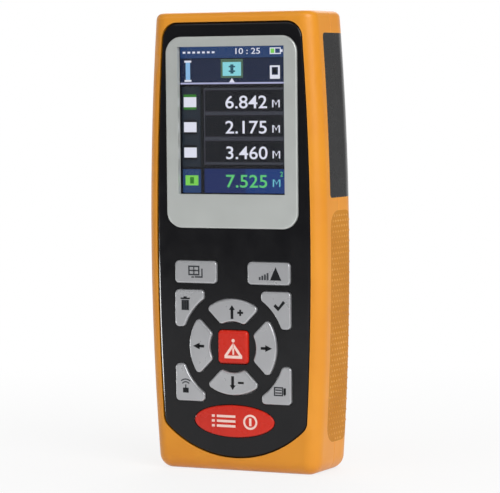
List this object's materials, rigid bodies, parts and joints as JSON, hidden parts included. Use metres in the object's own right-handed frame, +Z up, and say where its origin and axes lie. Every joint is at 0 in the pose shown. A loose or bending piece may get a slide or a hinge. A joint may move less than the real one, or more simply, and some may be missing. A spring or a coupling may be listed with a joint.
{
  "type": "laser distance meter",
  "caption": "Handheld laser distance meter: colour screen and keypad on the front, beam and lens windows in the top end, side grips, battery door and tripod socket.",
  "frame": {"origin": "middle of the flat base end, which is the datum that measurements start from", "axes": "+Z runs up to the end that the beam leaves, the screen and keys face -Y, +X is to the right of a person who reads the screen"},
  "size_m": [0.0576, 0.0279, 0.136],
  "materials": {
    "orange_case": "satin moulded plastic",
    "orange_pad": "fine dotted soft overmould",
    "dark_grip": "smooth satin",
    "gloss_black": "gloss",
    "silver_trim": "satin silver paint",
    "clear_window": "clear",
    "screen": "lit colour screen",
    "grey_metal": "bare",
    "grey_foam": "foam",
    "silver_key": "satin silver paint",
    "red_key": "satin red",
    "grey_rubber": "moulded",
    "spring_metal": "nickel plate",
    "circuit_green": "solder mask",
    "screw_steel": "dark zinc",
    "chip_black": "moulded resin",
    "door_black": "satin moulded plastic",
    "cell_jacket": "printed jacket, plain",
    "brass_insert": "turned",
    "dark_carrier": "moulded",
    "laser_brass": "turned",
    "plate_black": "gloss",
    "lens_glass": "clear",
    "diode_can": "plated can"
  },
  "bodies": {
    "housing": {"back_housing": "orange_case", "battery_cells": "cell_jacket", "battery_contacts_lower": "spring_metal", "battery_contacts_upper": "spring_metal", "board_screws": "screw_steel", "buzzer": "chip_black", "case_screws": "screw_steel", "display_bezel": "silver_trim", "display_foam": "grey_foam", "display_glass": "screen", "display_tray": "grey_metal", "display_window": "clear_window", "dome_switches": "spring_metal", "emitter_window": "lens_glass", "front_housing": "orange_case", "front_panel": "gloss_black", "key_mat": "grey_rubber", "laser_module": "laser_brass", "left_grip_pad": "orange_pad", "left_side_grip": "dark_grip", "main_board": "circuit_green", "optics_carrier": "dark_carrier", "optics_plate": "plate_black", "photodiode": "diode_can", "processor_chip": "chip_black", "receiver_board": "circuit_green", "receiver_lens": "lens_glass", "right_grip_pad": "orange_pad", "right_side_grip": "dark_grip", "tripod_insert": "brass_insert"},
    "lower_left_key": {"key_lower_left": "silver_key"},
    "lower_right_key": {"key_lower_right": "silver_key"},
    "measure_key": {"key_measure": "red_key"},
    "power_key": {"key_power": "red_key"},
    "ring_down_key": {"key_ring_down": "silver_key"},
    "ring_left_key": {"key_ring_left": "silver_key"},
    "ring_right_key": {"key_ring_right": "silver_key"},
    "ring_up_key": {"key_ring_up": "silver_key"},
    "top_left_key": {"key_top_left": "silver_key"},
    "top_right_key": {"key_top_right": "silver_key"},
    "upper_left_key": {"key_upper_left": "silver_key"},
    "upper_right_key": {"key_upper_right": "silver_key"},
    "door": {"battery_door": "door_black"}
  },
  "joints": [
    {"name": "lower_left_press", "type": "slide", "parent": "housing", "child": "lower_left_key", "axis": [0, 1, 0], "range_m": [0, 0.0006], "stiffness_N_per_m": 900},
    {"name": "lower_right_press", "type": "slide", "parent": "housing", "child": "lower_right_key", "axis": [0, 1, 0], "range_m": [0, 0.0006], "stiffness_N_per_m": 900},
    {"name": "measure_press", "type": "slide", "parent": "housing", "child": "measure_key", "axis": [0, 1, 0], "range_m": [0, 0.0006], "stiffness_N_per_m": 900},
    {"name": "power_press", "type": "slide", "parent": "housing", "child": "power_key", "axis": [0, 1, 0], "range_m": [0, 0.0006], "stiffness_N_per_m": 900},
    {"name": "ring_down_press", "type": "slide", "parent": "housing", "child": "ring_down_key", "axis": [0, 1, 0], "range_m": [0, 0.0006], "stiffness_N_per_m": 900},
    {"name": "ring_left_press", "type": "slide", "parent": "housing", "child": "ring_left_key", "axis": [0, 1, 0], "range_m": [0, 0.0006], "stiffness_N_per_m": 900},
    {"name": "ring_right_press", "type": "slide", "parent": "housing", "child": "ring_right_key", "axis": [0, 1, 0], "range_m": [0, 0.0006], "stiffness_N_per_m": 900},
    {"name": "ring_up_press", "type": "slide", "parent": "housing", "child": "ring_up_key", "axis": [0, 1, 0], "range_m": [0, 0.0006], "stiffness_N_per_m": 900},
    {"name": "top_left_press", "type": "slide", "parent": "housing", "child": "top_left_key", "axis": [0, 1, 0], "range_m": [0, 0.0006], "stiffness_N_per_m": 900},
    {"name": "top_right_press", "type": "slide", "parent": "housing", "child": "top_right_key", "axis": [0, 1, 0], "range_m": [0, 0.0006], "stiffness_N_per_m": 900},
    {"name": "upper_left_press", "type": "slide", "parent": "housing", "child": "upper_left_key", "axis": [0, 1, 0], "range_m": [0, 0.0006], "stiffness_N_per_m": 900},
    {"name": "upper_right_press", "type": "slide", "parent": "housing", "child": "upper_right_key", "axis": [0, 1, 0], "range_m": [0, 0.0006], "stiffness_N_per_m": 900},
    {"name": "door_hinge", "type": "hinge", "parent": "housing", "child": "door", "pos_m": [0, 0.0135, 0.015], "axis": [-1, 0, 0], "range_deg": [0, 75]}
  ]
}
